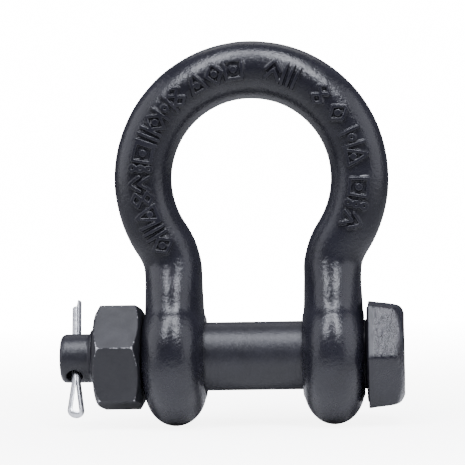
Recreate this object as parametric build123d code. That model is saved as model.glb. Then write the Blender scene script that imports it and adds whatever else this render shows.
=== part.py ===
"""Bow shackle, bolt type, with a 16 mm (5/8 in) bow and a 19 mm (3/4 in) bolt.

Four pieces: the forged bow, the bolt with its forged hex head, the hex nut and the split pin.
Millimetres. The origin is on the bolt's axis, half way between the two eyes.
+X runs along the bolt towards its head, +Z up the bow towards its crown, and -Y is the front.
"""

from build123d import *
import os
from math import acos, asin, atan2, cos, pi, radians, sin, sqrt, tan

# Bow
BAR_D = 16.0  # the round bar that the bow is bent from
BOW_WIDTH = 44.3  # inside the bow at its widest
INSIDE_LENGTH = 62.0  # from the bolt to the inside of the crown
JAW = 26.9  # between the faced rings of the two eyes
EYE_THICK = 17.3  # across the two faced rings of one eye
EYE_R = 19.3  # outside of an eye
EYE_ROUND = 9.6  # radial depth of the elliptical rounding of an eye's rim
EYE_HOLE_EDGE = 0.4  # chamfer
FACE_STEP = 0.25  # a faced ring stands this proud of the forged flank
FACE_WIDTH = 0.9  # of a faced ring, beyond the hole
LEG_BEND_R = 17.5  # bar centre-line radius where the bow turns into a leg
NECK_DROP = 4.3  # a leg is widest this far below the top of its eye
NECK_LENGTH = 13.0  # over which a leg widens into its eye
NECK_DEPTH = 25.6  # front to back, where it is widest
NECK_WIDTH = 16.6  # side to side, there

# Bolt
SHANK_D = 19.05
SHANK_BACK = 0.75  # the shank stops this far inside the left eye's outer face
SHANK_EDGE = 0.6  # chamfer
HEAD_AF = 28.8  # across flats at the seat
HEAD_DRAFT = 6.8  # the flats lean in towards the end, as they left the die, degrees
HEAD_HEIGHT = 10.4
HEAD_CORNER_R = 1.6  # forged rounding of the head's six corners
HEAD_RIM = 2.9  # the flat of the head's end is this much inside the flats at the seat
HEAD_SEAT_RIM = 1.4  # the washer face under the head is this much inside its flats
HEAD_SEAT = 0.4  # thickness of the washer face
HEAD_TURN = 30.5  # hex corner from straight up towards the front, degrees
THREAD_D = 16.0
PITCH = 2.0
RELIEF_LENGTH = 2.0  # undercut between the shank and the thread
RELIEF_DEPTH = 0.1  # below the thread's root
THREAD_SHOW = 1.6  # thread that stands out beyond the nut
SPIGOT_LENGTH = 8.3  # plain end beyond the thread
SPIGOT_ROUND = 1.5
COTTER_HOLE_IN = 4.1  # hole axis, from the free end
COTTER_SLOPE = 46.0  # the hole drops this many degrees towards the front

# Nut
NUT_AF = 27.0
NUT_HEIGHT = 13.2
NUT_RIM = 0.9  # radial width of the chamfers, at the flats
NUT_TURN = 16.0  # hex corner from straight up towards the front, degrees
HEX_CHAMFER = 30.0  # degrees, nut and head

# Split pin
WIRE_D = 2.5  # across the two half-round legs together
LEG_GAP = 0.12
LONG_LEG_OUT = 14.0  # beyond the spigot
SHORT_LEG_OUT = 11.6
LOOP_OUT = 14.2  # from the spigot to the end of the loop
LOOP_WIDTH = 4.7
LOOP_NECK_OUT = 1.8  # from the spigot to where the legs part
LOOP_NECK_R = 4.0
LOOP_TWIST = 14.0  # the loop's side towards the head is turned back by this, degrees
PIN_LEAN = 4.1  # the pin is loose in its hole, and its loop leans towards the nut, degrees

# Clearances
EYE_PLAY = 1.55  # on the diameter, between the shank and the holes in the eyes
COTTER_PLAY = 2.0  # on the diameter, between the split pin and its hole
SPIGOT_PLAY = 0.23  # on the diameter, so that the nut passes over the spigot
HEAD_GAP = 0.5  # end play between the head and the right eye
NUT_GAP = 0.2  # between the nut and the left eye
FLANK_PLAY = 0.12  # axial, between the thread flanks
CREST_PLAY = 0.12  # radial, at thread crests and roots

# Bow, from the bolt up
BAR_R = BAR_D / 2
BOW_R = BOW_WIDTH / 2 + BAR_R
BOW_Z = SHANK_D / 2 + INSIDE_LENGTH - BOW_WIDTH / 2
LEG_X = JAW / 2 + EYE_THICK / 2
LEG_TOP = BOW_Z - sqrt((BOW_R + LEG_BEND_R) ** 2 - (LEG_X + LEG_BEND_R) ** 2)
FLANK = EYE_THICK / 2 - FACE_STEP
EYE_HOLE_R = (SHANK_D + EYE_PLAY) / 2
EYE_FLAT_R = EYE_R - EYE_ROUND
NECK_END = EYE_R - NECK_DROP
NECK_START = NECK_END + NECK_LENGTH

# Thread: pitch radius, and root radii of the bolt and of the nut
PITCH_R = THREAD_D / 2 - 0.3248 * PITCH
BOLT_ROOT_R = THREAD_D / 2 - 0.6134 * PITCH - CREST_PLAY / 2
NUT_ROOT_R = THREAD_D / 2 - 0.5413 * PITCH

# Places along the bolt, from the head down to the free end
EYE_OUT = JAW / 2 + EYE_THICK
HEAD_X = EYE_OUT + HEAD_GAP
HEAD_END = HEAD_X + HEAD_HEIGHT
SHOULDER_X = SHANK_BACK - EYE_OUT
NUT_X = -EYE_OUT - NUT_GAP
NUT_END = NUT_X - NUT_HEIGHT
THREAD_START = SHOULDER_X - RELIEF_LENGTH
THREAD_END = NUT_END - THREAD_SHOW
BOLT_END = THREAD_END - SPIGOT_LENGTH

# Split pin, measured from the bolt's axis
SPIGOT_R = NUT_ROOT_R - SPIGOT_PLAY / 2
COTTER_X = BOLT_END + COTTER_HOLE_IN
LONG_LEG = SPIGOT_R + LONG_LEG_OUT
SHORT_LEG = SPIGOT_R + SHORT_LEG_OUT
LOOP_START = SPIGOT_R + LOOP_NECK_OUT
LOOP_END = SPIGOT_R + LOOP_OUT


def along_x(radius, start, end):
    """A cylinder on the bolt's axis."""
    return Pos(start, 0, 0) * extrude(Plane.YZ * Circle(radius), end - start)


def leg_frame(height):
    """The plane square to the right leg's centre line at a height."""
    turn = 0.0
    if height > LEG_TOP:
        turn = asin((height - LEG_TOP) / LEG_BEND_R)
    x = LEG_X + LEG_BEND_R * (1 - cos(turn))
    return Plane(origin=(x, 0, height), x_dir=(cos(turn), 0, -sin(turn)), z_dir=(sin(turn), 0, cos(turn)))


def neck():
    """A leg widens front to back into its eye, and runs on down into it."""
    steps = 8
    run_on = 4
    sections = []
    for i in range(steps + 1):
        t = i / steps
        grown = t * t * (3 - 2 * t)
        half_width = BAR_R + (NECK_WIDTH / 2 - BAR_R) * grown
        half_depth = BAR_R + (NECK_DEPTH / 2 - BAR_R) * grown
        sections.append(leg_frame(NECK_START - NECK_LENGTH * t) * Ellipse(half_width, half_depth))
    for i in range(1, run_on + 1):
        height = NECK_END + (EYE_FLAT_R - NECK_END) * i / run_on
        sections.append(leg_frame(height) * Ellipse(NECK_WIDTH / 2, NECK_DEPTH / 2))
    return loft(sections)


def eye():
    """A thick disc with an elliptical rim, and the faced rings round its hole."""
    with BuildSketch(Plane.XY) as half:
        with BuildLine():
            Line((-FLANK, 0), (-FLANK, EYE_FLAT_R))
            EllipticalCenterArc((0, EYE_FLAT_R), FLANK, EYE_ROUND, start_angle=0, arc_size=180)
            Line((FLANK, EYE_FLAT_R), (FLANK, 0))
            Line((FLANK, 0), (-FLANK, 0))
        make_face()
    disc = revolve(half.sketch, Axis.X, 360)
    ring = along_x(EYE_HOLE_R + FACE_WIDTH, -EYE_THICK / 2, EYE_THICK / 2)
    return Pos(LEG_X, 0, 0) * (disc + ring)


def eye_hole():
    """The hole through an eye, wider at both mouths."""
    hole = along_x(EYE_HOLE_R, -EYE_THICK, EYE_THICK)
    for side in (-1, 1):
        cone = Cone(EYE_HOLE_R, EYE_HOLE_R + 2 * EYE_HOLE_EDGE, 2 * EYE_HOLE_EDGE)
        hole += Pos(side * EYE_THICK / 2, 0, 0) * Rot(0, side * 90, 0) * cone
    return Pos(LEG_X, 0, 0) * hole


def mirrored(place):
    """The same place or direction on the left leg."""
    return Vector(-place.X, place.Y, place.Z)


def bow():
    """The bent bar, then a neck and an eye at the end of each leg."""
    start = leg_frame(NECK_START)
    bend_start = leg_frame(max(NECK_START, LEG_TOP))
    turn = acos((LEG_X + LEG_BEND_R) / (BOW_R + LEG_BEND_R))
    join = Vector(BOW_R * cos(turn), 0, BOW_Z - BOW_R * sin(turn))
    path = [
        Edge.make_tangent_arc(bend_start.origin, bend_start.z_dir, join),
        Edge.make_three_point_arc(join, (0, 0, BOW_Z + BOW_R), mirrored(join)),
        Edge.make_tangent_arc(mirrored(bend_start.origin), mirrored(bend_start.z_dir), mirrored(join)),
    ]
    if LEG_TOP > NECK_START:
        path.insert(0, Edge.make_line(start.origin, bend_start.origin))
        path.append(Edge.make_line(mirrored(start.origin), mirrored(bend_start.origin)))
    bar = sweep(start * Circle(BAR_R), path=Wire(path))
    leg = neck() + eye()
    body = bar + leg + leg.mirror(Plane.YZ)
    hole = eye_hole()
    return body - hole - hole.mirror(Plane.YZ)


def thread_section(crest_r, root_r, play):
    """A 60 degree thread cut square to its axis: a cam whose radius follows the flanks."""

    def angle(r):
        return 2 * pi * (PITCH / 4 + play / 2 - (r - PITCH_R) * tan(radians(30))) / PITCH

    def polar(r, a):
        return (r * cos(a), r * sin(a))

    crest = angle(crest_r)
    root = angle(root_r)
    steps = 6
    radii = [crest_r + (root_r - crest_r) * i / steps for i in range(steps + 1)]
    with BuildSketch() as section:
        with BuildLine():
            ThreePointArc(polar(crest_r, -crest), (crest_r, 0), polar(crest_r, crest))
            Spline(*[polar(r, angle(r)) for r in radii])
            ThreePointArc(polar(root_r, root), (-root_r, 0), polar(root_r, -root))
            Spline(*[polar(r, -angle(r)) for r in reversed(radii)])
        make_face()
    return section.sketch.face()


def helix_rod(section, start, end):
    """The section twisted along +X, right-handed, in the one phase that all threads here share."""
    length = end - start
    turned = section.rotate(Axis.Z, 360 * start / PITCH)
    rod = Solid.extrude_linear_with_rotation(turned, (0, 0, 0), (0, 0, length), 360 * length / PITCH)
    return Plane(origin=(start, 0, 0), x_dir=(0, 1, 0), z_dir=(1, 0, 0)).location * rod


def hexagon(across_flats, turn, start, end, draft=0):
    """A hex bar on the bolt's axis, with a corner turned from straight up towards the front."""
    corner_r = across_flats / 2 / cos(radians(30))
    outline = Plane.YZ * Rot(0, 0, 90 + turn) * RegularPolygon(corner_r, 6)
    return Pos(start, 0, 0) * extrude(outline, end - start, taper=draft)


def chamfer_cone(face_r, tip, way):
    """What is left of a hex bar's end at tip, where way is 1 for an end that faces +X."""
    length = 2 * (HEAD_HEIGHT + NUT_HEIGHT)
    rise = length * tan(radians(90 - HEX_CHAMFER))
    points = [(tip, 0), (tip, face_r), (tip - way * length, face_r + rise), (tip - way * length, 0)]
    return revolve(Plane.XY * make_face(Polyline(*points, close=True)), Axis.X, 360)


def bolt():
    """Head, shank, undercut, thread and spigot, from right to left."""
    shank = along_x(SHANK_D / 2, SHOULDER_X, HEAD_X)
    shank = chamfer(shank.edges().sort_by(Axis.X)[0], SHANK_EDGE)
    seat = along_x(HEAD_AF / 2 - HEAD_SEAT_RIM, HEAD_X, HEAD_X + HEAD_SEAT)
    head = hexagon(HEAD_AF, HEAD_TURN, HEAD_X + HEAD_SEAT, HEAD_END, HEAD_DRAFT)
    head = fillet(head.edges().group_by(Axis.X)[1], HEAD_CORNER_R)
    head = head & chamfer_cone(HEAD_AF / 2 - HEAD_RIM, HEAD_END, 1)
    relief = along_x(BOLT_ROOT_R - RELIEF_DEPTH, THREAD_START, SHOULDER_X)
    section = thread_section(THREAD_D / 2 - CREST_PLAY / 2, BOLT_ROOT_R, -FLANK_PLAY)
    thread = helix_rod(section, THREAD_END, THREAD_START)
    spigot = along_x(SPIGOT_R, BOLT_END, THREAD_END)
    spigot = fillet(spigot.edges().sort_by(Axis.X)[0], SPIGOT_ROUND)
    hole = extrude(cotter_plane() * Circle((WIRE_D + COTTER_PLAY) / 2), 2 * SPIGOT_R, both=True)
    return shank + seat + head + relief + thread + (spigot - hole)


def nut():
    """A hex blank with both ends chamfered, tapped to match the bolt."""
    blank = hexagon(NUT_AF, NUT_TURN, NUT_END, NUT_X)
    blank = blank & chamfer_cone(NUT_AF / 2 - NUT_RIM, NUT_X, 1)
    blank = blank & chamfer_cone(NUT_AF / 2 - NUT_RIM, NUT_END, -1)
    section = thread_section(THREAD_D / 2 + CREST_PLAY, NUT_ROOT_R, FLANK_PLAY)
    thread = helix_rod(section, NUT_END - PITCH, NUT_X + PITCH)
    return blank - thread


def cotter_plane():
    """Square to the split pin: local Z runs down the pin to its loop, local X along the bolt."""
    slope = radians(COTTER_SLOPE)
    return Plane(origin=(COTTER_X, 0, 0), x_dir=(1, 0, 0), z_dir=(0, -cos(slope), -sin(slope)))


def loop_path():
    """The flat inner face of the bent half-round wire, in the plane of the loop."""
    side = LEG_GAP / 2
    end_r = (LOOP_WIDTH - WIRE_D) / 2
    end_u = LOOP_END - LOOP_WIDTH / 2
    run = end_u - LOOP_START
    rise = side + LOOP_NECK_R
    lean = asin((LOOP_NECK_R + end_r) / sqrt(run**2 + rise**2)) - atan2(rise, run)
    neck_end = (LOOP_START + LOOP_NECK_R * sin(lean), rise - LOOP_NECK_R * cos(lean))
    loop_start = (end_u - end_r * sin(lean), end_r * cos(lean))
    return Wire([
        Edge.make_line((-LONG_LEG, side), (LOOP_START, side)),
        Edge.make_tangent_arc((LOOP_START, side), (1, 0), neck_end),
        Edge.make_line(neck_end, loop_start),
        Edge.make_three_point_arc(loop_start, (end_u + end_r, 0), (loop_start[0], -loop_start[1])),
        Edge.make_line((loop_start[0], -loop_start[1]), (neck_end[0], -neck_end[1])),
        Edge.make_tangent_arc((neck_end[0], -neck_end[1]), (-cos(lean), sin(lean)), (LOOP_START, -side)),
        Edge.make_line((LOOP_START, -side), (-SHORT_LEG, -side)),
    ])


def split_pin():
    """Half-round wire, bent flat face to flat face."""
    start = Plane(origin=(-LONG_LEG, LEG_GAP / 2, 0), x_dir=(0, 1, 0), z_dir=(1, 0, 0))
    half_round = start * (Circle(WIRE_D / 2) & Pos(WIRE_D / 2, 0) * Rectangle(WIRE_D, WIRE_D))
    pin = sweep(half_round, path=loop_path())
    lean = radians(PIN_LEAN)
    down = cotter_plane().z_dir * cos(lean) + cotter_plane().x_dir * sin(lean)
    across = cotter_plane().x_dir.rotate(Axis((0, 0, 0), down), -LOOP_TWIST)
    return Plane(origin=(COTTER_X, 0, 0), x_dir=down, z_dir=down.cross(across)) * pin


def write(node, shape):
    shape.label = node
    export_step(shape, f"parts/{node}.step")


os.makedirs("parts", exist_ok=True)
write("bow", bow())
write("bolt", bolt())
write("nut", nut())
write("split_pin", split_pin())
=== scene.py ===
# %% [markdown]
# # A bow shackle
#
# A bow shackle is a closed ring that can be opened: a forged bow, a bolt through its two eyes,
# a nut on the bolt and a split pin that keeps the nut on. Here the working model is already made,
# with its real sizes, so each piece below takes that shape and gives it the surface of the real
# thing: the soft skin of a forging, corners that are worn, and paint or zinc on top.

# %% Load the working model
import math

import bmesh
import bpy
import numpy as np
from mathutils import Matrix, Vector, kdtree


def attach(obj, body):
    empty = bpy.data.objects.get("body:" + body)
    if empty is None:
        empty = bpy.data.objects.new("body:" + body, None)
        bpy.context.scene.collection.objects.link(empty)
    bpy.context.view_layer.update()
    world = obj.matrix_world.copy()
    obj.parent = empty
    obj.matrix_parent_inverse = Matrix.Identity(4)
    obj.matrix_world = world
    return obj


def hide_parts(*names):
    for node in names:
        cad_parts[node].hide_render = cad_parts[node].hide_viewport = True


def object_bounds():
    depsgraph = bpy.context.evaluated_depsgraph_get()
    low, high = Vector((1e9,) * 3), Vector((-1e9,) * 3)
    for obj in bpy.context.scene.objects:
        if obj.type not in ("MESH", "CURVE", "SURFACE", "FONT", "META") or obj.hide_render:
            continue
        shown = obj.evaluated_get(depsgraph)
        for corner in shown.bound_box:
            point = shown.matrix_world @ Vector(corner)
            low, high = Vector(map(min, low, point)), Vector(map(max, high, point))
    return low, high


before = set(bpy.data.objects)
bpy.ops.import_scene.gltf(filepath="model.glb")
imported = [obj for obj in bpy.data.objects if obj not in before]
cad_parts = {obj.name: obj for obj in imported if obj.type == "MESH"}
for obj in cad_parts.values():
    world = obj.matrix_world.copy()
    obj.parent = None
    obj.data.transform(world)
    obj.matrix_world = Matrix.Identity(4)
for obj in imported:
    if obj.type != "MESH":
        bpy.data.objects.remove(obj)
working_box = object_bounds()
MM = 0.001
print("working model, mm:", [round((b - a) / MM, 1) for a, b in zip(*working_box)])

# %% [markdown]
# ## The camera and the light
#
# The camera stands a long way back with a long lens, so the bow looks flat and square, as in a
# catalogue. It looks a little from the left and a touch from above, and it is rolled by about one
# degree. We build its axes from those three angles, because that is exact and easy to read.

# %% Camera
TURN = math.radians(3.97)  # round the object, to the left of straight ahead
TILT = math.radians(1.05)  # above the horizon
ROLL = math.radians(1.165)
AWAY = 637.5 * MM
ACROSS = -6.18 * MM
UP = 34.30 * MM
LENS = 177.3

right = Vector((math.cos(TURN), math.sin(TURN), 0))
view = Vector((-math.sin(TURN) * math.cos(TILT), math.cos(TURN) * math.cos(TILT), -math.sin(TILT)))
up = right.cross(view)
right_rolled = math.cos(ROLL) * right - math.sin(ROLL) * up
up_rolled = math.sin(ROLL) * right + math.cos(ROLL) * up
eye_point = ACROSS * right_rolled + UP * up_rolled - AWAY * view

camera_data = bpy.data.cameras.new("camera")
camera_data.lens = LENS
camera_data.sensor_width = 36.0
camera_data.clip_start = 0.01
camera = bpy.data.objects.new("camera", camera_data)
aim = Matrix((right_rolled, up_rolled, -view)).transposed().to_4x4()
camera.matrix_world = Matrix.Translation(eye_point) @ aim
bpy.context.scene.collection.objects.link(camera)
bpy.context.scene.camera = camera
print("camera, mm:", [round(c / MM, 1) for c in eye_point])

# %% [markdown]
# Two long soft boxes hang over the front of the table, one left and one right of the camera. They
# give each rounded piece a broad upright highlight on its upper front, which is what shows that the
# paint is glossy and the bar is round. A weaker one fills the gap between them. A weak light from
# behind draws the upper edges, and one on each side brings out the flanks of the bow.


# %% Lights
def soft_box(name, place, target, width, height, watts, colour):
    """A rectangular area light at place that faces target."""
    data = bpy.data.lights.new(name, "AREA")
    data.shape = "RECTANGLE"
    data.size = width
    data.size_y = height
    data.energy = watts
    data.color = colour
    lamp = bpy.data.objects.new(name, data)
    facing = (target - place).to_track_quat("-Z", "Y")
    lamp.matrix_world = Matrix.LocRotScale(place, facing, None)
    bpy.context.scene.collection.objects.link(lamp)


def from_angles(azimuth, elevation, distance):
    """A place at an azimuth from straight in front, in degrees, and an elevation above the floor."""
    a = math.radians(azimuth)
    e = math.radians(elevation)
    return Vector((math.sin(a) * math.cos(e), -math.cos(a) * math.cos(e), math.sin(e))) * distance


middle = Vector((0, 0, 0.03))
COOL = (0.90, 0.92, 1.0)
PALE = (0.92, 0.93, 1.0)
WHITE = (1.0, 1.0, 1.0)
LAMPS = (  # name, azimuth, elevation, distance, width, height, watts, colour
    ("box_left", -34, 56, 0.9, 0.24, 0.70, 8.8, COOL),
    ("box_right", 29, 56, 0.9, 0.24, 0.70, 10.0, COOL),
    ("box_top", 0, 64, 1.0, 0.30, 0.40, 0.3, COOL),
    ("back_light", 180, 50, 1.0, 0.80, 0.40, 1.0, WHITE),
    ("side_left", -84, 20, 0.9, 0.90, 0.90, 4.5, PALE),
    ("side_right", 78, 20, 0.9, 0.90, 0.90, 4.5, PALE),
)
for name, azimuth, elevation, away, width, height, watts, colour in LAMPS:
    soft_box(name, middle + from_angles(azimuth, elevation, away), middle, width, height, watts, colour)
print("lights:", len(LAMPS))

# %% [markdown]
# The floor is pale, with a painted pool of light: its own colour is paler round the shackle and
# darker farther out, and the pieces show that in their reflections. The world behind it is white to
# the eye, but the object sees a dim grey room instead, because a glossy black piece in a white room
# would turn grey all over. Away from the shackle the floor fades to the same white, so no horizon
# shows, as on a paper sweep.


# %% Floor
def pale_floor(size=6.0):
    """A big square sheet under the shackle."""
    mesh = bpy.data.meshes.new("floor")
    half = size / 2
    z = working_box[0][2]
    corners = [(-half, -half, z), (half, -half, z), (half, half, z), (-half, half, z)]
    mesh.from_pydata(corners, [], [(0, 1, 2, 3)])
    floor = bpy.data.objects.new("floor", mesh)
    bpy.context.scene.collection.objects.link(floor)
    return floor


def two_faced(tree, seen, hidden, target):
    """Feeds target with one colour for what the lens sees and another for light and reflections."""
    path = tree.nodes.new("ShaderNodeLightPath")
    mix = tree.nodes.new("ShaderNodeMix")
    mix.data_type = "RGBA"
    mix.inputs["A"].default_value = (*hidden, 1)
    mix.inputs["B"].default_value = (*seen, 1)
    tree.links.new(path.outputs["Is Camera Ray"], mix.inputs["Factor"])
    tree.links.new(mix.outputs["Result"], target)


def change_with(tree, distance, near, far, at_near, at_far):
    """A value that changes from at_near to at_far as the distance goes from near to far."""
    node = tree.nodes.new("ShaderNodeMapRange")
    for socket, value in (("From Min", near), ("From Max", far), ("To Min", at_near), ("To Max", at_far)):
        node.inputs[socket].default_value = value
    tree.links.new(distance.outputs["Value"], node.inputs["Value"])
    return node.outputs["Result"]


SHEET_WHITE = 16.0  # so bright that it is pure white in the picture
floor = pale_floor()
floor_paint = bpy.data.materials.new("floor_paint")
floor_paint.use_nodes = True
floor_shader = floor_paint.node_tree.nodes["Principled BSDF"]
floor_shader.inputs["Roughness"].default_value = 0.9
floor_shader.inputs["Specular IOR Level"].default_value = 0.1
floor.data.materials.append(floor_paint)

tree = floor_paint.node_tree
distance = tree.nodes.new("ShaderNodeVectorMath")
distance.operation = "LENGTH"
tree.links.new(tree.nodes.new("ShaderNodeTexCoord").outputs["Object"], distance.inputs[0])
# painted pool of light: the floor's own colour is paler round the shackle and darker farther out
painted_light_pool = change_with(tree, distance, 0.05, 0.16, 0.85, 0.3)
tree.links.new(painted_light_pool, floor_shader.inputs["Base Color"])
glow = change_with(tree, distance, 0.0, 0.5, 5.0, SHEET_WHITE)
tree.links.new(glow, floor_shader.inputs["Emission Strength"])
two_faced(tree, (1.0, 1.0, 1.0), (0, 0, 0), floor_shader.inputs["Emission Color"])

# %% [markdown]
# The world gets the same treatment: white for the lens, and a dim grey, a little blue, for the
# light and the reflections.

# %% World
world = bpy.data.worlds.new("room")
bpy.context.scene.world = world
world.use_nodes = True
sky = world.node_tree.nodes["Background"]
two_faced(world.node_tree, [SHEET_WHITE] * 3, (0.12, 0.122, 0.15), sky.inputs["Color"])

# %% [markdown]
# ## The way each forging is made
#
# A forging has no sharp corners, and its skin is never quite flat. One way to get that is to bevel
# every edge, but edges that meet at shallow angles bevel badly. The other way is clay: we copy the
# working piece, let a voxel remesh turn it into an even net of small squares, and rub that net
# smooth. All corners then round by themselves, and the even net can carry fine relief later.


# %% Copy a working piece
def working_copy(node, name):
    """A copy of a working piece whose loose triangles are joined up."""
    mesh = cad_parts[node].data.copy()
    mesh.name = name
    net = bmesh.new()
    net.from_mesh(mesh)
    bmesh.ops.remove_doubles(net, verts=net.verts, dist=0.002 * MM)
    bmesh.ops.recalc_face_normals(net, faces=net.faces)
    net.to_mesh(mesh)
    net.free()
    mesh.materials.clear()
    piece = bpy.data.objects.new(name, mesh)
    bpy.context.scene.collection.objects.link(piece)
    return piece


def set_down(piece):
    """Turns what the modifiers give into the piece's own mesh, and takes the modifiers off."""
    bpy.context.view_layer.update()
    made = piece.evaluated_get(bpy.context.evaluated_depsgraph_get())
    result = bpy.data.meshes.new_from_object(made)
    piece.modifiers.clear()
    piece.data = result


def clay(piece, voxel):
    """Remeshes a closed piece into even squares of the given size."""
    remesh = piece.modifiers.new("clay", "REMESH")
    remesh.mode = "VOXEL"
    remesh.voxel_size = voxel
    set_down(piece)
    print(piece.name, "clay faces:", len(piece.data.polygons))


# %% [markdown]
# Rubbing is done on plain arrays, which is quick even on a hundred thousand points. Moving each point
# to the mean of its neighbours would shrink the piece, so rub moves it back out a little further each
# time: the ripples go and the size stays. melt leaves that second move out, and rounds a place off.

# %% Rub a net smooth
def net_arrays(mesh):
    """The net's points and its edges as number arrays."""
    points = np.empty(len(mesh.vertices) * 3)
    mesh.vertices.foreach_get("co", points)
    edges = np.empty(len(mesh.edges) * 2, dtype=np.int64)
    mesh.edges.foreach_get("vertices", edges)
    return points.reshape(-1, 3), edges.reshape(-1, 2)


def pull(values, edges):
    """How far the mean of each point's neighbours lies from the point."""
    count = len(values)
    degree = np.bincount(edges.ravel(), minlength=count).clip(1)
    out = np.empty_like(values)
    for axis in range(values.shape[1]):
        column = values[:, axis]
        total = np.bincount(edges[:, 0], column[edges[:, 1]], minlength=count)
        total += np.bincount(edges[:, 1], column[edges[:, 0]], minlength=count)
        out[:, axis] = total / degree - column
    return out


def rub(piece, rounds, step=0.55, beyond=1.03):
    """Smooths a net without shrinking it: each round moves points in, then a little further out."""
    points, edges = net_arrays(piece.data)
    for _ in range(rounds):
        points += step * pull(points, edges)
        points -= step * beyond * pull(points, edges)
    piece.data.vertices.foreach_set("co", points.ravel())
    piece.data.update()


def melt(piece, rounds, share, step=0.55):
    """Rounds a part of a net off for good; share is 0 to 1 for every point."""
    points, edges = net_arrays(piece.data)
    keep = share(points)[:, None]
    for _ in range(rounds):
        points += step * keep * pull(points, edges)
    piece.data.vertices.foreach_set("co", points.ravel())
    piece.data.update()


def ramp(values, low, high):
    """0 below low, 1 above high, and a soft rise between."""
    t = np.clip((values - low) / (high - low), 0, 1)
    return t * t * (3 - 2 * t)


# %% [markdown]
# Two more helpers. One keeps a finished piece inside the size of its working piece, to the last
# hundredth. The other measures where the skin bends outwards, because that is where paint wears first
# and where the bow gets a painted highlight along the edges of its raised marks.


# %% Keep the size, and find the worn edges
def keep_within(piece, node):
    """Puts any point that strays outside the working piece's own box back on the box."""
    points, _ = net_arrays(piece.data)
    limits, _ = net_arrays(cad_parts[node].data)
    inside = np.clip(points, limits.min(axis=0), limits.max(axis=0))
    print(piece.name, "points put back in the box:", int((points != inside).any(axis=1).sum()))
    piece.data.vertices.foreach_set("co", inside.ravel())
    piece.data.update()


def note_edges(piece, reach=1.0 * MM):
    """Stores how sharply the skin bends out, where the paint rubs through and, on the bow, a highlight is
    painted.
    """
    points, edges = net_arrays(piece.data)
    normals = np.empty(len(points) * 3)
    piece.data.vertices.foreach_get("normal", normals)
    normals = normals.reshape(-1, 3)
    bend = -(pull(points, edges) * normals).sum(axis=1, keepdims=True)
    spacing = np.linalg.norm(points[edges[:, 0]] - points[edges[:, 1]], axis=1).mean()
    for _ in range(3):
        bend += 0.5 * pull(bend, edges)
    edge = (bend[:, 0] * reach / spacing**2).clip(-1, 1)
    layer = piece.data.attributes.new("edge", "FLOAT", "POINT")
    layer.data.foreach_set("value", edge)
    print(piece.name, "edge values at 50, 90, 98 %:", np.percentile(edge, (50, 90, 98)).round(2))


# %% [markdown]
# ## The bow
#
# The bow is a round bar bent round a large circle, with a gentle counter-bend into each leg. Three
# sizes say where its centre line is: the big radius, the height of its centre and the bend of the
# leg. We need that line twice, to true the bar up after rubbing, and to lay the raised marks along it.

# %% Centre line of the bow
BAR_R = 8.0 * MM
BOW_R = 30.15 * MM  # of the centre line
BOW_Z = 49.375 * MM  # height of the big circle's centre above the bolt
LEG_X = 22.1 * MM  # from the middle of the jaw to the middle of a leg
LEG_BEND_R = 17.5 * MM
NECK_TOP = 28.0 * MM  # above this the bar is round

join_angle = math.pi - math.asin((LEG_X + LEG_BEND_R) / (BOW_R + LEG_BEND_R))
join_length = BOW_R * join_angle
bend_x = (BOW_R + LEG_BEND_R) * math.sin(join_angle)
bend_z = BOW_Z + (BOW_R + LEG_BEND_R) * math.cos(join_angle)


def centre_line(length):
    """The bar's centre, and the way out of the bow, at a length from the crown (left is negative)."""
    side = -1 if length < 0 else 1
    length = abs(length)
    if length <= join_length:
        angle = length / BOW_R
        out = Vector((side * math.sin(angle), 0, math.cos(angle)))
        return Vector((0, 0, BOW_Z)) + BOW_R * out, out
    angle = join_angle - (length - join_length) / LEG_BEND_R
    out = Vector((side * math.sin(angle), 0, math.cos(angle)))
    return Vector((side * bend_x, 0, bend_z)) - LEG_BEND_R * out, out


def true_up_bar(piece):
    """Puts every point of the bent bar at exactly the bar's radius from its centre line."""
    points, _ = net_arrays(piece.data)
    side = np.sign(points[:, 0])
    x = np.abs(points[:, 0])
    z = points[:, 2]
    angle = np.arctan2(x, z - BOW_Z)
    from_bow = np.stack([np.sin(angle), np.cos(angle)], axis=1)
    on_bow = np.array([0, BOW_Z]) + BOW_R * from_bow
    to_bend = np.stack([x - bend_x, z - bend_z], axis=1)
    to_bend /= np.linalg.norm(to_bend, axis=1, keepdims=True)
    on_bend = np.array([bend_x, bend_z]) + LEG_BEND_R * to_bend
    centre = np.where((angle < join_angle)[:, None], on_bow, on_bend)
    spoke = np.stack([x - centre[:, 0], points[:, 1], z - centre[:, 1]], axis=1)
    length = np.linalg.norm(spoke, axis=1, keepdims=True)
    share = np.clip((z - NECK_TOP) / (4 * MM), 0, 1)[:, None]
    spoke *= 1 + share * (BAR_R / length - 1)
    x = side * (centre[:, 0] + spoke[:, 0])
    points = np.stack([x, spoke[:, 1], centre[:, 1] + spoke[:, 2]], axis=1)
    piece.data.vertices.foreach_set("co", points.ravel())
    piece.data.update()


bow = working_copy("bow", "bow_forging")
clay(bow, 0.62 * MM)
rub(bow, 9)
true_up_bar(bow)

# the bar flows into the eye: the crease between them is melted into a shallow valley
NECK = [z * MM for z in (12.0, 15.0, 20.0, 26.0)]
melt(bow, 70, lambda p: ramp(p[:, 2], NECK[0], NECK[1]) * (1 - ramp(p[:, 2], NECK[2], NECK[3])))

# %% [markdown]
# The front of the bow carries a row of raised marks, cut into the forging die. Real ones are codes
# and sizes. These are plain shapes that say nothing: bars, beads, diamonds, squares, triangles and
# chevrons. Each is a few strokes in a square of side 1, with u out of the bow and v along it.


# %% Shapes of the marks
def loop(points):
    """A stroke that ends where it began."""
    return points + points[:1]


def bead(u, v, radius=0.13, turns=8):
    """A small ring round the point u, v."""
    steps = [2 * math.pi * i / turns for i in range(turns)]
    return loop([(u + radius * math.sin(a), v + radius * math.cos(a)) for a in steps])


def diamond(u, v, out, along):
    """A diamond round the point u, v, with its half sizes out of the bow and along it."""
    return loop([(u - out, v), (u, v + along), (u + out, v), (u, v - along)])


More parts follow.
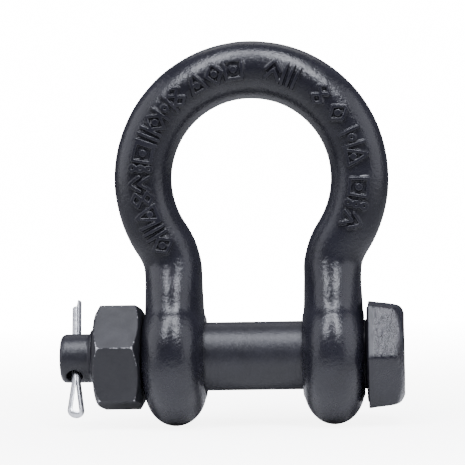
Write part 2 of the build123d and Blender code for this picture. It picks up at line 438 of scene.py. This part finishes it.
MARKS = {
    "bars": [[(-0.5, v), (0.5, v)] for v in (-0.3, 0, 0.3)],
    "beads": [bead(u, 0) for u in (-0.36, 0, 0.36)],
    "chevrons": [[(u - 0.45, -0.34), (u, 0), (u - 0.45, 0.34)] for u in (0.05, 0.5)],
    "diamond": [diamond(0, 0, 0.5, 0.38), bead(0, 0, 0.09)],
    "pair": [diamond(u, 0, 0.23, 0.30) for u in (-0.26, 0.26)],
    "square": [loop([(-0.42, -0.40), (0.42, -0.40), (0.42, 0.40), (-0.42, 0.40)]), bead(0, 0, 0.10)],
    "tent": [loop([(-0.46, -0.40), (-0.46, 0.40), (0.5, 0)]), bead(-0.16, 0, 0.08)],
    "rails": [[(-0.5, v), (0.5, v)] for v in (-0.34, 0.34)] + [bead(0, 0)],
}
MARK_HEIGHT = 5.8 * MM
ROW = [  # mm along the centre line from the crown, and the shape
    (-66.6, "diamond"), (-61.9, "bars"), (-57.3, "tent"), (-52.7, "pair"), (-48.4, "chevrons"),
    (-44.2, "beads"), (-39.9, "square"), (-35.1, "bars"), (-30.7, "diamond"), (-26.0, "rails"),
    (-21.5, "pair"), (-14.9, "tent"), (-9.3, "diamond"), (-3.9, "square"),
    (7.2, "chevrons"), (12.0, "bars"), (21.8, "pair"), (28.8, "diamond"),
    (36.6, "rails"), (41.8, "tent"), (50.4, "square"), (55.2, "beads"), (59.8, "chevrons"),
]


# %% [markdown]
# To lay a shape on the round bar, its points go along the centre line and round the bar's front.
# Long strokes are split into short steps, so that they follow both curves.


# %% Lay the marks along the bar
def on_bar(length, across):
    """A place on the front of the bar, at a length along it and a distance out from its middle."""
    centre, out = centre_line(length)
    angle = across / BAR_R
    return centre + BAR_R * (math.sin(angle) * out + math.cos(angle) * Vector((0, -1, 0)))


def stroke_points(strokes, place, spacing=0.25 * MM):
    """Splits strokes into short steps, and puts each point where place says."""
    lines = []
    for stroke in strokes:
        line = []
        for (u0, v0), (u1, v1) in zip(stroke, stroke[1:]):
            steps = max(1, round(math.hypot(u1 - u0, v1 - v0) * MARK_HEIGHT / spacing))
            line += [place(u0 + (u1 - u0) * i / steps, v0 + (v1 - v0) * i / steps) for i in range(steps)]
        line.append(place(*stroke[-1]))
        lines.append(line)
    return lines


def wire_object(name, lines):
    """A helper object with only points and edges, which the relief is measured from."""
    points = [p for line in lines for p in line]
    edges = []
    start = 0
    for line in lines:
        edges += [(start + i, start + i + 1) for i in range(len(line) - 1)]
        start += len(line)
    mesh = bpy.data.meshes.new(name)
    mesh.from_pydata(points, edges, [])
    wire = bpy.data.objects.new(name, mesh)
    bpy.context.scene.collection.objects.link(wire)
    wire.hide_render = True
    return wire


bow_lines = []
for along_mm, shape in ROW:
    bow_lines += stroke_points(
        MARKS[shape], lambda u, v: on_bar(along_mm * MM + v * MARK_HEIGHT, u * MARK_HEIGHT)
    )
bow_strokes = wire_object("bow_strokes", bow_lines)
print("marks:", len(ROW), "strokes:", len(bow_lines))

# %% [markdown]
# To raise them we use Geometry Nodes. Instancing solid shapes would leave hard joints, so the tree
# asks something simpler of every point of the bow: how far is the nearest stroke? Points close to
# one are lifted, with a soft foot, as metal that flowed into a groove. The net has to be fine enough
# there first, so every square near a stroke is cut four by four.


# %% Cut the net finer near the strokes
def refine_near(piece, wire, reach, cuts=3):
    """Subdivides the faces whose middle is within reach of the wire."""
    tree = kdtree.KDTree(len(wire.data.vertices))
    for i, vertex in enumerate(wire.data.vertices):
        tree.insert(vertex.co, i)
    tree.balance()
    net = bmesh.new()
    net.from_mesh(piece.data)
    near = [f for f in net.faces if tree.find(f.calc_center_median())[2] < reach]
    edges = list({e for f in near for e in f.edges})
    bmesh.ops.subdivide_edges(net, edges=edges, cuts=cuts, use_grid_fill=True)
    net.to_mesh(piece.data)
    net.free()
    print(piece.name, "faces after refining:", len(piece.data.polygons))


refine_near(bow, bow_strokes, 0.95 * MM)


# %% [markdown]
# The trees are built here in the script, so that nothing is hidden in a file. Each has named inputs
# for its sizes and its finish. Its result becomes a plain mesh at once, which any other program can
# read.

# %% A small kit for Geometry Nodes
def new_tree(name, inputs):
    """An empty tree with named inputs, and its way in and way out."""
    tree = bpy.data.node_groups.new(name, "GeometryNodeTree")
    tree.is_modifier = True
    tree.interface.new_socket("Geometry", in_out="INPUT", socket_type="NodeSocketGeometry")
    for label, kind in inputs:
        tree.interface.new_socket(label, in_out="INPUT", socket_type=kind)
    tree.interface.new_socket("Geometry", in_out="OUTPUT", socket_type="NodeSocketGeometry")
    return tree, tree.nodes.new("NodeGroupInput"), tree.nodes.new("NodeGroupOutput")


def add(tree, kind, links=(), **settings):
    """Adds a node, sets its properties, and joins sockets: {input: output or value}."""
    node = tree.nodes.new(kind)
    for key, value in settings.items():
        setattr(node, key, value)
    for key, value in dict(links).items():
        if isinstance(value, bpy.types.NodeSocket):
            tree.links.new(value, node.inputs[key])
        else:
            node.inputs[key].default_value = value
    return node


def finish_tree(tree, way_in, way_out, geometry):
    """Ends a tree in Realize Instances and Set Material."""
    real = add(tree, "GeometryNodeRealizeInstances", {"Geometry": geometry})
    finish = way_in.outputs["Finish"]
    painted = add(tree, "GeometryNodeSetMaterial", {"Geometry": real.outputs[0], "Material": finish})
    tree.links.new(painted.outputs[0], way_out.inputs["Geometry"])


def grow(piece, tree, **values):
    """Runs a tree on a piece and keeps the result as a plain mesh.

    The values are the tree's inputs by name, with _ for a space.
    """
    modifier = piece.modifiers.new(tree.name, "NODES")
    modifier.node_group = tree
    names = {item.name: item.identifier for item in tree.interface.items_tree if item.in_out == "INPUT"}
    for label, value in values.items():
        modifier[names[label.replace("_", " ")]] = value
    set_down(piece)
    print(piece.name, "after", tree.name + ":", len(piece.data.polygons), "faces")


# %% [markdown]
# Proximity gives the distance from a point to the nearest stroke. Map Range turns that into a lift:
# all of it at the crest, none beyond the foot, and a soft slope between.

# %% Tree: raise the skin along strokes
relief, way_in, way_out = new_tree("relief", [
    ("Strokes", "NodeSocketObject"), ("Height", "NodeSocketFloat"), ("Crest", "NodeSocketFloat"),
    ("Foot", "NodeSocketFloat"), ("Finish", "NodeSocketMaterial"),
])
strokes_in = add(relief, "GeometryNodeObjectInfo", {"Object": way_in.outputs["Strokes"]})
nearest = add(
    relief, "GeometryNodeProximity", {"Geometry": strokes_in.outputs["Geometry"]}, target_element="EDGES"
)
lift = add(
    relief, "ShaderNodeMapRange",
    {"Value": nearest.outputs["Distance"], "From Min": way_in.outputs["Foot"],
     "From Max": way_in.outputs["Crest"], "To Min": 0.0, "To Max": 1.0},
    interpolation_type="SMOOTHSTEP",
)
height = add(
    relief, "ShaderNodeMath", {0: lift.outputs["Result"], 1: way_in.outputs["Height"]}, operation="MULTIPLY"
)
offset = add(
    relief, "ShaderNodeVectorMath",
    {0: add(relief, "GeometryNodeInputNormal").outputs[0], "Scale": height.outputs[0]}, operation="SCALE",
)
lifted = add(
    relief, "GeometryNodeSetPosition", {"Geometry": way_in.outputs["Geometry"], "Offset": offset.outputs[0]}
)
finish_tree(relief, way_in, way_out, lifted.outputs[0])

# %% [markdown]
# The second tree gives a piece its forged skin: a slow noise that makes the surface slightly
# uneven, and a faster one for hammered and shot-blasted grain. They move points along the normal by
# about a tenth of a millimetre or less, which is enough to break up a highlight. Where a piece is
# marked as turned in a lathe, as the bolt's shank is, the tree leaves it alone.

# %% Tree: forged skin
skin, way_in, way_out = new_tree("forged_skin", [
    ("Swell", "NodeSocketFloat"), ("Swell size", "NodeSocketFloat"), ("Grain", "NodeSocketFloat"),
    ("Grain size", "NodeSocketFloat"), ("Seed", "NodeSocketFloat"), ("Finish", "NodeSocketMaterial"),
])


def noise_lift(tree, inputs, height_name, size_name):
    """A noise of a given size, centred on zero and scaled to a height."""
    scale = add(tree, "ShaderNodeMath", {0: 1.0, 1: inputs.outputs[size_name]}, operation="DIVIDE")
    noise = add(
        tree, "ShaderNodeTexNoise",
        {"W": inputs.outputs["Seed"], "Scale": scale.outputs[0], "Detail": 2.0}, noise_dimensions="4D",
    )
    centred = add(tree, "ShaderNodeMath", {0: noise.outputs[0], 1: 0.5}, operation="SUBTRACT")
    factors = {0: centred.outputs[0], 1: inputs.outputs[height_name]}
    return add(tree, "ShaderNodeMath", factors, operation="MULTIPLY")


swell = noise_lift(skin, way_in, "Swell", "Swell size")
grain = noise_lift(skin, way_in, "Grain", "Grain size")
both = add(skin, "ShaderNodeMath", {0: swell.outputs[0], 1: grain.outputs[0]}, operation="ADD")
lathe = add(skin, "GeometryNodeInputNamedAttribute", {"Name": "turned"})
forged = add(skin, "ShaderNodeMath", {0: 1.0, 1: lathe.outputs["Attribute"]}, operation="SUBTRACT")
amount = add(skin, "ShaderNodeMath", {0: both.outputs[0], 1: forged.outputs[0]}, operation="MULTIPLY")
push = add(
    skin, "ShaderNodeVectorMath",
    {0: add(skin, "GeometryNodeInputNormal").outputs[0], "Scale": amount.outputs[0]}, operation="SCALE",
)
pushed = add(
    skin, "GeometryNodeSetPosition", {"Geometry": way_in.outputs["Geometry"], "Offset": push.outputs[0]}
)
finish_tree(skin, way_in, way_out, pushed.outputs[0])

# %% [markdown]
# ## Finishes
#
# The bow, the bolt and the nut are painted or blackened steel, and the split pin is zinc plated.
# A good black finish is never one colour: it is bluish where it catches the light, thinner and
# greyer on corners, and its gloss changes from place to place. On the bow the greyer corners are also
# a painted highlight along the raised marks. One recipe makes all three blacks, with its own numbers
# for each piece.


# %% Black paint
def noise(tree, where, size, detail=3.0, rough=0.55):
    """A noise whose spots are about the given size."""
    return add(
        tree, "ShaderNodeTexNoise", {"Vector": where, "Scale": 1 / size, "Detail": detail, "Roughness": rough}
    ).outputs[0]


def remap(tree, value, low, high, to_low, to_high):
    """Stretches the values from low to high over another range."""
    node = add(
        tree, "ShaderNodeMapRange",
        {"Value": value, "From Min": low, "From Max": high, "To Min": to_low, "To Max": to_high},
    )
    return node.outputs["Result"]


TURNED_DULLER = 0.22  # added to the roughness
TURNED_GRAIN = 0.4  # the grain's share that shows
FINE_SIZE = 0.4  # of the fine grain, as a share of the coarse
FINE_HEIGHT = 0.35
WEAR_AND_HIGHLIGHT_FADE = 0.12  # from the first wear to bare metal; on the bow this lighter colour is also a painted highlight


def black_finish(name, base, light, gloss, matt, grain_size, grain_bump, worn_and_highlight, wear_and_highlight_from, metal, drawn=1.0):
    """Black paint over steel: tone and gloss vary, the grain shows, and the paint rubs through on corners;
    on the bow that lighter corner colour is also a painted highlight along the raised marks.

    drawn under 1 stretches the grain round the bolt's axis.
    """
    material = bpy.data.materials.new(name)
    material.use_nodes = True
    tree = material.node_tree
    shader = tree.nodes["Principled BSDF"]
    where = add(tree, "ShaderNodeTexCoord").outputs["Object"]
    tone = add(
        tree, "ShaderNodeMix", {"Factor": remap(tree, noise(tree, where, 9 * MM), 0.35, 0.7, 0, 1),
                                "A": (*base, 1), "B": (*light, 1)}, data_type="RGBA",
    ).outputs["Result"]
    # where the skin bends out the colour turns lighter and more metallic: rubbed paint, and on the bow also a
    # painted highlight along the raised marks
    edge = add(tree, "ShaderNodeAttribute", attribute_name="edge").outputs["Fac"]
    patchy = noise(tree, where, 2.2 * MM, 4.0, 0.7)
    ragged = add(tree, "ShaderNodeMath", {0: edge, 1: patchy}, operation="MULTIPLY")
    wear_and_highlight = remap(tree, ragged.outputs[0], wear_and_highlight_from, wear_and_highlight_from + WEAR_AND_HIGHLIGHT_FADE, 0, 1)
    colour = add(tree, "ShaderNodeMix", {"Factor": wear_and_highlight, "A": tone, "B": (*worn_and_highlight, 1)}, data_type="RGBA")
    tree.links.new(colour.outputs["Result"], shader.inputs["Base Color"])
    tree.links.new(remap(tree, wear_and_highlight, 0, 1, 0.0, metal), shader.inputs["Metallic"])
    turned = add(tree, "ShaderNodeAttribute", attribute_name="turned").outputs["Fac"]
    sheen = remap(tree, noise(tree, where, 3.5 * MM, 5.0), 0.3, 0.75, gloss, matt)
    # paint on turned steel lies thinner, so there it is duller and shows less grain
    rough = add(tree, "ShaderNodeMath", {0: turned, 1: TURNED_DULLER, 2: sheen}, operation="MULTIPLY_ADD")
    tree.links.new(rough.outputs[0], shader.inputs["Roughness"])
    along = add(tree, "ShaderNodeVectorMath", {0: where, 1: (1.0, drawn, drawn)}, operation="MULTIPLY")
    coarse = noise(tree, along.outputs[0], grain_size, 3.0, 0.5)
    fine = noise(tree, where, grain_size * FINE_SIZE, 2.0, 0.5)
    height = add(tree, "ShaderNodeMath", {0: fine, 1: FINE_HEIGHT, 2: coarse}, operation="MULTIPLY_ADD")
    strength = remap(tree, turned, 0, 1, 1.0, TURNED_GRAIN)
    bump = add(
        tree, "ShaderNodeBump", {"Height": height.outputs[0], "Strength": strength, "Distance": grain_bump}
    )
    tree.links.new(bump.outputs[0], shader.inputs["Normal"])
    return material


# %% [markdown]
# Now the three blacks. The bow and the bolt carry thick glossy paint over a forged skin. The nut is
# only blackened, so it is duller and smoother, and its corners wear back to bright steel.

# %% Three blacks
# the bow's lighter edge colour is partly rubbed paint and partly a painted highlight on the edges of its
# raised marks
bow_paint = black_finish(
    "bow_paint", base=(0.008, 0.008, 0.012), light=(0.014, 0.014, 0.020), gloss=0.22, matt=0.31,
    grain_size=1.0 * MM, grain_bump=0.12 * MM, worn_and_highlight=(0.17, 0.175, 0.20), wear_and_highlight_from=0.21, metal=0.3,
)
bolt_paint = black_finish(
    "bolt_paint", base=(0.008, 0.008, 0.012), light=(0.014, 0.014, 0.020), gloss=0.13, matt=0.22,
    grain_size=0.9 * MM, grain_bump=0.34 * MM, worn_and_highlight=(0.10, 0.10, 0.12), wear_and_highlight_from=0.36, metal=0.3,
    drawn=0.4,
)
nut_black = black_finish(
    "nut_black", base=(0.007, 0.007, 0.010), light=(0.012, 0.012, 0.016), gloss=0.46, matt=0.60,
    grain_size=0.6 * MM, grain_bump=0.04 * MM, worn_and_highlight=(0.60, 0.60, 0.62), wear_and_highlight_from=0.19, metal=0.9,
)

# %% [markdown]
# Zinc is a metal all through, so its colour is the colour of its reflections. A fresh plating is
# bright but a little cloudy, and drawing the wire leaves very fine lines along it.

# %% Zinc
def bright_zinc(name):
    """Zinc plating on wire: bright, a little cloudy, with fine drawing lines."""
    material = bpy.data.materials.new(name)
    material.use_nodes = True
    tree = material.node_tree
    shader = tree.nodes["Principled BSDF"]
    shader.inputs["Metallic"].default_value = 1.0
    where = add(tree, "ShaderNodeTexCoord").outputs["Object"]
    cloud = noise(tree, where, 1.4 * MM, 4.0)
    tone = add(
        tree, "ShaderNodeMix", {"Factor": remap(tree, cloud, 0.35, 0.7, 0, 1),
                                "A": (0.66, 0.67, 0.70, 1), "B": (0.86, 0.87, 0.89, 1)}, data_type="RGBA",
    )
    tree.links.new(tone.outputs["Result"], shader.inputs["Base Color"])
    tree.links.new(remap(tree, cloud, 0.3, 0.7, 0.26, 0.40), shader.inputs["Roughness"])
    lines = noise(tree, where, 0.35 * MM, 3.0)
    bump = add(tree, "ShaderNodeBump", {"Height": lines, "Strength": 1.0, "Distance": 0.004 * MM})
    tree.links.new(bump.outputs[0], shader.inputs["Normal"])
    return material


pin_zinc = bright_zinc("pin_zinc")

# %% [markdown]
# The order matters here. The marks go on first and the skin after them, because on the real bow the
# scale and the shot-blasting lie over the marks too. The edges are measured last.

# %% Put the marks and the skin on the bow
grow(bow, relief, Strokes=bow_strokes, Height=0.85 * MM, Crest=0.38 * MM, Foot=0.66 * MM, Finish=bow_paint)
grow(
    bow, skin, Swell=0.22 * MM, Swell_size=11 * MM, Grain=0.03 * MM, Grain_size=1.6 * MM, Seed=1.0,
    Finish=bow_paint,
)
note_edges(bow)
bpy.data.objects.remove(bow_strokes)

# %% [markdown]
# ## Bolt and nut
#
# The bolt and the nut already have their real thread in the working model, so the clay keeps it.
# The shank is turned, not forged, so its points go back to a true circle after rubbing.

# %% Bolt
SHANK_R = 9.525 * MM
SHANK_ENDS = (-29.4 * MM, 31.1 * MM)  # without the chamfer and the corner under the head
HEAD_START = 32.0 * MM
HEAD_SKIN = 32.5 * MM  # the forged skin starts a little way into the head
HEAD_FULL = 34.0 * MM

bolt = working_copy("bolt", "bolt_forging")
clay(bolt, 0.325 * MM)
rub(bolt, 5)


def true_up_shank(piece):
    """Puts every point on the shank's surface at its exact radius from the bolt's axis."""
    points, _ = net_arrays(piece.data)
    radius = np.linalg.norm(points[:, 1:], axis=1)
    on_shank = (points[:, 0] > SHANK_ENDS[0]) & (points[:, 0] < SHANK_ENDS[1])
    on_shank &= np.abs(radius - SHANK_R) < 0.1 * MM
    points[on_shank, 1:] *= (SHANK_R / radius[on_shank])[:, None]
    piece.data.vertices.foreach_set("co", points.ravel())
    piece.data.update()


# the head is left as the hammer made it, with soft corners; the rest is turned in a lathe
melt(bolt, 14, lambda p: ramp(p[:, 0], HEAD_START, HEAD_FULL))
true_up_shank(bolt)
points, _ = net_arrays(bolt.data)
turned = bolt.data.attributes.new("turned", "FLOAT", "POINT")
turned.data.foreach_set("value", 1 - ramp(points[:, 0], HEAD_SKIN, HEAD_FULL))
grow(
    bolt, skin, Swell=0.45 * MM, Swell_size=5 * MM, Grain=0.08 * MM, Grain_size=1.4 * MM, Seed=5.0,
    Finish=bolt_paint,
)
note_edges(bolt)

# %% [markdown]
# The nut's faces are flatter and its corners sharper than those of the forgings, so it gets a finer
# clay and less rubbing. Its dull black wears to bright steel along the corners.

# %% Nut
nut = working_copy("nut", "hex_nut")
clay(nut, 0.24 * MM)
rub(nut, 3)
note_edges(nut)
nut.data.materials.append(nut_black)

# %% [markdown]
# ## Split pin
#
# A split pin is one half-round wire, folded flat side to flat side, with a loop left open at the
# fold. So we draw the line of its flat side and let Geometry Nodes carry a half-round section along
# it. The pin is loose in its hole: it leans towards the nut, and its loop is turned a little.

# %% The line of the wire
WIRE_R = 1.25  # this and the rest are in mm, until the line is drawn
GAP = 0.06  # from the middle of the fold to each flat side
LONG_LEG = 20.8  # these four are measured from the bolt's axis
SHORT_LEG = 18.4
LOOP_FROM = 8.6  # where the two sides of the loop part
LOOP_TO = 21.0  # the far end of the loop
NECK_R = 4.0  # of the bend where they part
LOOP_R = 1.1  # of the flat side round the far end


def arc(centre, radius, start, end, steps):
    """Points along an arc, from the start angle to the end angle."""
    angles = [start + (end - start) * i / steps for i in range(steps + 1)]
    return [(centre[0] + radius * math.cos(a), centre[1] + radius * math.sin(a)) for a in angles]


def wire_line():
    """Points on the flat side of the wire, from the long leg round the loop to the short leg."""
    middle_u = LOOP_TO - LOOP_R - WIRE_R
    rise = GAP + NECK_R
    run = middle_u - LOOP_FROM
    lean = math.asin((NECK_R + LOOP_R) / math.hypot(run, rise)) - math.atan2(rise, run)
    quarter = math.pi / 2
    out = [(-LONG_LEG, GAP)] + arc((LOOP_FROM, rise), NECK_R, -quarter, lean - quarter, 5)
    around = arc((middle_u, 0), LOOP_R, quarter + lean, -quarter - lean, 22)
    back = [(u, -v) for u, v in reversed(out)]
    back[-1] = (-SHORT_LEG, -GAP)
    return out + around + back


def section():
    """Half a disc with softened corners; its round side is turned away from the inside of the loop."""
    soft = 0.14
    low = math.asin(soft / (WIRE_R - soft))
    half = arc((0, 0), WIRE_R, 0, math.pi / 2 - low, 9)
    corner = arc((soft, math.sqrt((WIRE_R - soft) ** 2 - soft**2)), soft, math.pi / 2 - low, math.pi, 4)
    upper = half + corner[1:]
    return [(-x, y) for x, y in upper] + [(-x, -y) for x, y in reversed(upper[1:])]


def drawn_curve(name, points, closed):
    """A curve object of straight steps, in metres."""
    data = bpy.data.curves.new(name, "CURVE")
    data.dimensions = "3D"
    spline = data.splines.new("POLY")
    spline.points.add(len(points) - 1)
    for point, (x, y) in zip(spline.points, points):
        point.co = (x * MM, y * MM, 0, 1)
    spline.use_cyclic_u = closed
    curve = bpy.data.objects.new(name, data)
    bpy.context.scene.collection.objects.link(curve)
    return curve


# %% [markdown]
# Curve to Mesh carries the section along the line. Set Curve Normal comes first, and makes the
# section turn as little as it can on the way, so the flat side of the wire stays inside the loop.

# %% Tree: carry a section along a line
wire, way_in, way_out = new_tree("drawn_wire", [
    ("Line", "NodeSocketObject"), ("Section", "NodeSocketObject"), ("Finish", "NodeSocketMaterial"),
])
line_in = add(wire, "GeometryNodeObjectInfo", {"Object": way_in.outputs["Line"]})
section_in = add(wire, "GeometryNodeObjectInfo", {"Object": way_in.outputs["Section"]})
upright = add(wire, "GeometryNodeSetCurveNormal", {"Curve": line_in.outputs["Geometry"]})
swept = add(
    wire, "GeometryNodeCurveToMesh",
    {"Curve": upright.outputs[0], "Profile Curve": section_in.outputs["Geometry"], "Fill Caps": True},
)
finish_tree(wire, way_in, way_out, swept.outputs[0])

# %% [markdown]
# The pin was drawn lying flat, with its legs along x. Three angles set it in place: the slope of the
# hole, the lean of the loose pin towards the nut, and a small turn of the loop.

# %% Bend the pin and set it in its hole
pin_line = drawn_curve("pin_line", wire_line(), False)
pin_section = drawn_curve("pin_section", section(), True)
pin = bpy.data.objects.new("split_pin_wire", bpy.data.meshes.new("split_pin_wire"))
bpy.context.scene.collection.objects.link(pin)
grow(pin, wire, Line=pin_line, Section=pin_section, Finish=pin_zinc)
net = bmesh.new()
net.from_mesh(pin.data)
bmesh.ops.recalc_face_normals(net, faces=net.faces)
net.to_mesh(pin.data)
net.free()
bpy.data.objects.remove(pin_line)
bpy.data.objects.remove(pin_section)
points, _ = net_arrays(pin.data)
print("pin, mm:", (points.min(axis=0) / MM).round(2), (points.max(axis=0) / MM).round(2))

HOLE_X = -49.95 * MM
SLOPE = math.radians(46.0)  # how steeply the hole drops towards the front
LEAN = math.radians(4.1)  # of the loose pin, its loop towards the nut
TWIST = math.radians(14.0)  # of the loop, about the pin

down = Vector((math.sin(LEAN), -math.cos(SLOPE) * math.cos(LEAN), -math.sin(SLOPE) * math.cos(LEAN)))
wide = Matrix.Rotation(-TWIST, 3, down) @ Vector((1, 0, 0))
flat = down.cross(wide).normalized()
set_in = Matrix((down, flat.cross(down), flat)).transposed().to_4x4()
pin.data.transform(Matrix.Translation((HOLE_X, 0, 0)) @ set_in)

# %% [markdown]
# Each finished piece now takes the place of its working piece. It rides on the same body, so that it
# moves with the joints. Its finish is the material it was given above, whose name matches the slot in
# the table below; the table's slot names are not read.

# %% Hand the pieces to the frame
PIECES = (
    (bow, "bow", "bow_paint"), (bolt, "bolt", "bolt_paint"),
    (nut, "nut", "nut_black"), (pin, "split_pin", "pin_zinc"),
)
for piece, node, slot in PIECES:
    for polygon in piece.data.polygons:
        polygon.use_smooth = True
    keep_within(piece, node)
    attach(piece, node)
    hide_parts(node)
